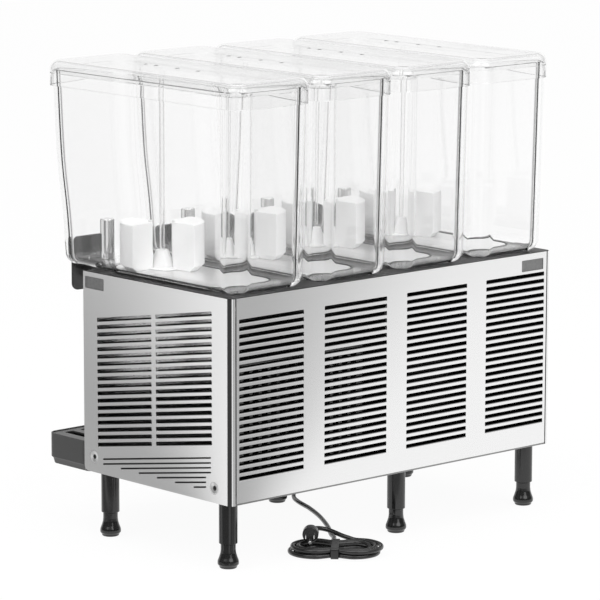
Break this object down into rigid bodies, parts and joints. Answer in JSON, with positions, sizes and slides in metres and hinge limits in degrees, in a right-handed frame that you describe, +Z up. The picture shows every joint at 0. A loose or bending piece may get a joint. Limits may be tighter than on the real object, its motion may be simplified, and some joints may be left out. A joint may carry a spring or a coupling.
{
  "type": "cold beverage dispenser",
  "caption": "Counter-top cold drink dispenser with a row of clear lidded bowls, push handles, a louvred cooling cabinet, a drip tray and adjustable legs.",
  "frame": {"origin": "on the counter under the middle of the part's footprint, cord left out", "axes": "+Z up, -Y towards the serving side with the handles and drip tray, +X to the right side panel seen in the picture"},
  "size_m": [0.688, 0.5345, 0.7438],
  "materials": {
    "brushed_steel": "satin",
    "galvanised_steel": "matt",
    "condenser_metal": "matt",
    "clear_plastic": "clear",
    "white_plastic": "satin",
    "black_plastic": "satin",
    "black_paint": "satin",
    "black_rubber": "matt",
    "polished_steel": "polished"
  },
  "bodies": {
    "cabinet": {"rear_panel": "brushed_steel", "side_panel_right": "brushed_steel", "side_panel_left": "brushed_steel", "base_pan": "galvanised_steel", "top_deck": "black_plastic", "front_panel": "brushed_steel", "control_fascia": "brushed_steel", "cold_plate_1": "brushed_steel", "cold_plate_2": "brushed_steel", "cold_plate_3": "brushed_steel", "cold_plate_4": "brushed_steel", "bowl_gasket_1": "black_rubber", "bowl_gasket_2": "black_rubber", "bowl_gasket_3": "black_rubber", "bowl_gasket_4": "black_rubber", "leg_1": "black_paint", "leg_2": "black_paint", "leg_3": "black_paint", "leg_4": "black_paint", "leg_5": "black_paint", "leg_6": "black_paint", "tray_bracket": "galvanised_steel", "compressor": "black_paint", "condenser": "condenser_metal", "fan_motor": "galvanised_steel", "cord_gland": "black_rubber", "power_cord_lead": "black_rubber", "power_cord_hank": "black_rubber", "power_plug": "black_plastic", "cord_tie": "black_rubber"},
    "bowl_1": {"bowl_1": "clear_plastic"},
    "lid_1": {"lid_1": "clear_plastic"},
    "agitator_1": {"agitator_1": "white_plastic"},
    "plunger_1": {"valve_plunger_1": "polished_steel"},
    "handle_1": {"dispense_handle_1": "black_plastic"},
    "bowl_2": {"bowl_2": "clear_plastic"},
    "lid_2": {"lid_2": "clear_plastic"},
    "agitator_2": {"agitator_2": "white_plastic"},
    "plunger_2": {"valve_plunger_2": "polished_steel"},
    "handle_2": {"dispense_handle_2": "black_plastic"},
    "bowl_3": {"bowl_3": "clear_plastic"},
    "lid_3": {"lid_3": "clear_plastic"},
    "agitator_3": {"agitator_3": "white_plastic"},
    "plunger_3": {"valve_plunger_3": "polished_steel"},
    "handle_3": {"dispense_handle_3": "black_plastic"},
    "bowl_4": {"bowl_4": "clear_plastic"},
    "lid_4": {"lid_4": "clear_plastic"},
    "agitator_4": {"agitator_4": "white_plastic"},
    "plunger_4": {"valve_plunger_4": "polished_steel"},
    "handle_4": {"dispense_handle_4": "black_plastic"},
    "drip_tray": {"drip_tray": "black_plastic"},
    "drip_grille": {"drip_grille": "black_plastic"},
    "fan": {"fan": "white_plastic"},
    "switch": {"power_switch": "black_plastic"},
    "foot_1": {"foot_1": "black_paint"},
    "foot_2": {"foot_2": "black_paint"},
    "foot_3": {"foot_3": "black_paint"},
    "foot_4": {"foot_4": "black_paint"},
    "foot_5": {"foot_5": "black_paint"},
    "foot_6": {"foot_6": "black_paint"}
  },
  "joints": [
    {"name": "bowl_1_lift", "type": "slide", "parent": "cabinet", "child": "bowl_1", "axis": [0, 0, 1], "range_m": [0, 0.06]},
    {"name": "lid_1_lift", "type": "slide", "parent": "bowl_1", "child": "lid_1", "axis": [0, 0, 1], "range_m": [0, 0.05]},
    {"name": "agitator_1_spin", "type": "hinge", "parent": "bowl_1", "child": "agitator_1", "pos_m": [0.25725, -0.03305, 0.43], "axis": [0, 0, 1], "continuous": true},
    {"name": "handle_1_push", "type": "hinge", "parent": "bowl_1", "child": "handle_1", "pos_m": [0.25725, -0.18905, 0.4119], "axis": [1, 0, 0], "range_deg": [0, 12]},
    {"name": "plunger_1_lift", "type": "slide", "parent": "bowl_1", "child": "plunger_1", "axis": [0, 0, 1], "range_m": [0, 0.0058], "stiffness_N_per_m": 60, "springref_m": -0.005},
    {"name": "bowl_2_lift", "type": "slide", "parent": "cabinet", "child": "bowl_2", "axis": [0, 0, 1], "range_m": [0, 0.06]},
    {"name": "lid_2_lift", "type": "slide", "parent": "bowl_2", "child": "lid_2", "axis": [0, 0, 1], "range_m": [0, 0.05]},
    {"name": "agitator_2_spin", "type": "hinge", "parent": "bowl_2", "child": "agitator_2", "pos_m": [0.08575, -0.03305, 0.43], "axis": [0, 0, 1], "continuous": true},
    {"name": "handle_2_push", "type": "hinge", "parent": "bowl_2", "child": "handle_2", "pos_m": [0.08575, -0.18905, 0.4119], "axis": [1, 0, 0], "range_deg": [0, 12]},
    {"name": "plunger_2_lift", "type": "slide", "parent": "bowl_2", "child": "plunger_2", "axis": [0, 0, 1], "range_m": [0, 0.0058], "stiffness_N_per_m": 60, "springref_m": -0.005},
    {"name": "bowl_3_lift", "type": "slide", "parent": "cabinet", "child": "bowl_3", "axis": [0, 0, 1], "range_m": [0, 0.06]},
    {"name": "lid_3_lift", "type": "slide", "parent": "bowl_3", "child": "lid_3", "axis": [0, 0, 1], "range_m": [0, 0.05]},
    {"name": "agitator_3_spin", "type": "hinge", "parent": "bowl_3", "child": "agitator_3", "pos_m": [-0.08575, -0.03305, 0.43], "axis": [0, 0, 1], "continuous": true},
    {"name": "handle_3_push", "type": "hinge", "parent": "bowl_3", "child": "handle_3", "pos_m": [-0.08575, -0.18905, 0.4119], "axis": [1, 0, 0], "range_deg": [0, 12]},
    {"name": "plunger_3_lift", "type": "slide", "parent": "bowl_3", "child": "plunger_3", "axis": [0, 0, 1], "range_m": [0, 0.0058], "stiffness_N_per_m": 60, "springref_m": -0.005},
    {"name": "bowl_4_lift", "type": "slide", "parent": "cabinet", "child": "bowl_4", "axis": [0, 0, 1], "range_m": [0, 0.06]},
    {"name": "lid_4_lift", "type": "slide", "parent": "bowl_4", "child": "lid_4", "axis": [0, 0, 1], "range_m": [0, 0.05]},
    {"name": "agitator_4_spin", "type": "hinge", "parent": "bowl_4", "child": "agitator_4", "pos_m": [-0.25725, -0.03305, 0.43], "axis": [0, 0, 1], "continuous": true},
    {"name": "handle_4_push", "type": "hinge", "parent": "bowl_4", "child": "handle_4", "pos_m": [-0.25725, -0.18905, 0.4119], "axis": [1, 0, 0], "range_deg": [0, 12]},
    {"name": "plunger_4_lift", "type": "slide", "parent": "bowl_4", "child": "plunger_4", "axis": [0, 0, 1], "range_m": [0, 0.0058], "stiffness_N_per_m": 60, "springref_m": -0.005},
    {"name": "drip_tray_slide", "type": "slide", "parent": "cabinet", "child": "drip_tray", "axis": [0, -1, 0], "range_m": [0, 0.1]},
    {"name": "drip_grille_lift", "type": "slide", "parent": "drip_tray", "child": "drip_grille", "axis": [0, 0, 1], "range_m": [0, 0.04]},
    {"name": "fan_spin", "type": "hinge", "parent": "cabinet", "child": "fan", "pos_m": [0.18, 0.15695, 0.2155], "axis": [0, 1, 0], "continuous": true},
    {"name": "switch_rock", "type": "hinge", "parent": "cabinet", "child": "switch", "pos_m": [-0.29, -0.12005, 0.37], "axis": [1, 0, 0], "range_deg": [0, 14]},
    {"name": "foot_1_extend", "type": "slide", "parent": "cabinet", "child": "foot_1", "axis": [0, 0, -1], "range_m": [0, 0.025]},
    {"name": "foot_2_extend", "type": "slide", "parent": "cabinet", "child": "foot_2", "axis": [0, 0, -1], "range_m": [0, 0.025]},
    {"name": "foot_3_extend", "type": "slide", "parent": "cabinet", "child": "foot_3", "axis": [0, 0, -1], "range_m": [0, 0.025]},
    {"name": "foot_4_extend", "type": "slide", "parent": "cabinet", "child": "foot_4", "axis": [0, 0, -1], "range_m": [0, 0.025]},
    {"name": "foot_5_extend", "type": "slide", "parent": "cabinet", "child": "foot_5", "axis": [0, 0, -1], "range_m": [0, 0.025]},
    {"name": "foot_6_extend", "type": "slide", "parent": "cabinet", "child": "foot_6", "axis": [0, 0, -1], "range_m": [0, 0.025]}
  ],
  "couplings": [
    {"joint": "handle_1_push", "follows": "plunger_1_lift", "rad_per_m": 35.714},
    {"joint": "handle_2_push", "follows": "plunger_2_lift", "rad_per_m": 35.714},
    {"joint": "handle_3_push", "follows": "plunger_3_lift", "rad_per_m": 35.714},
    {"joint": "handle_4_push", "follows": "plunger_4_lift", "rad_per_m": 35.714}
  ]
}
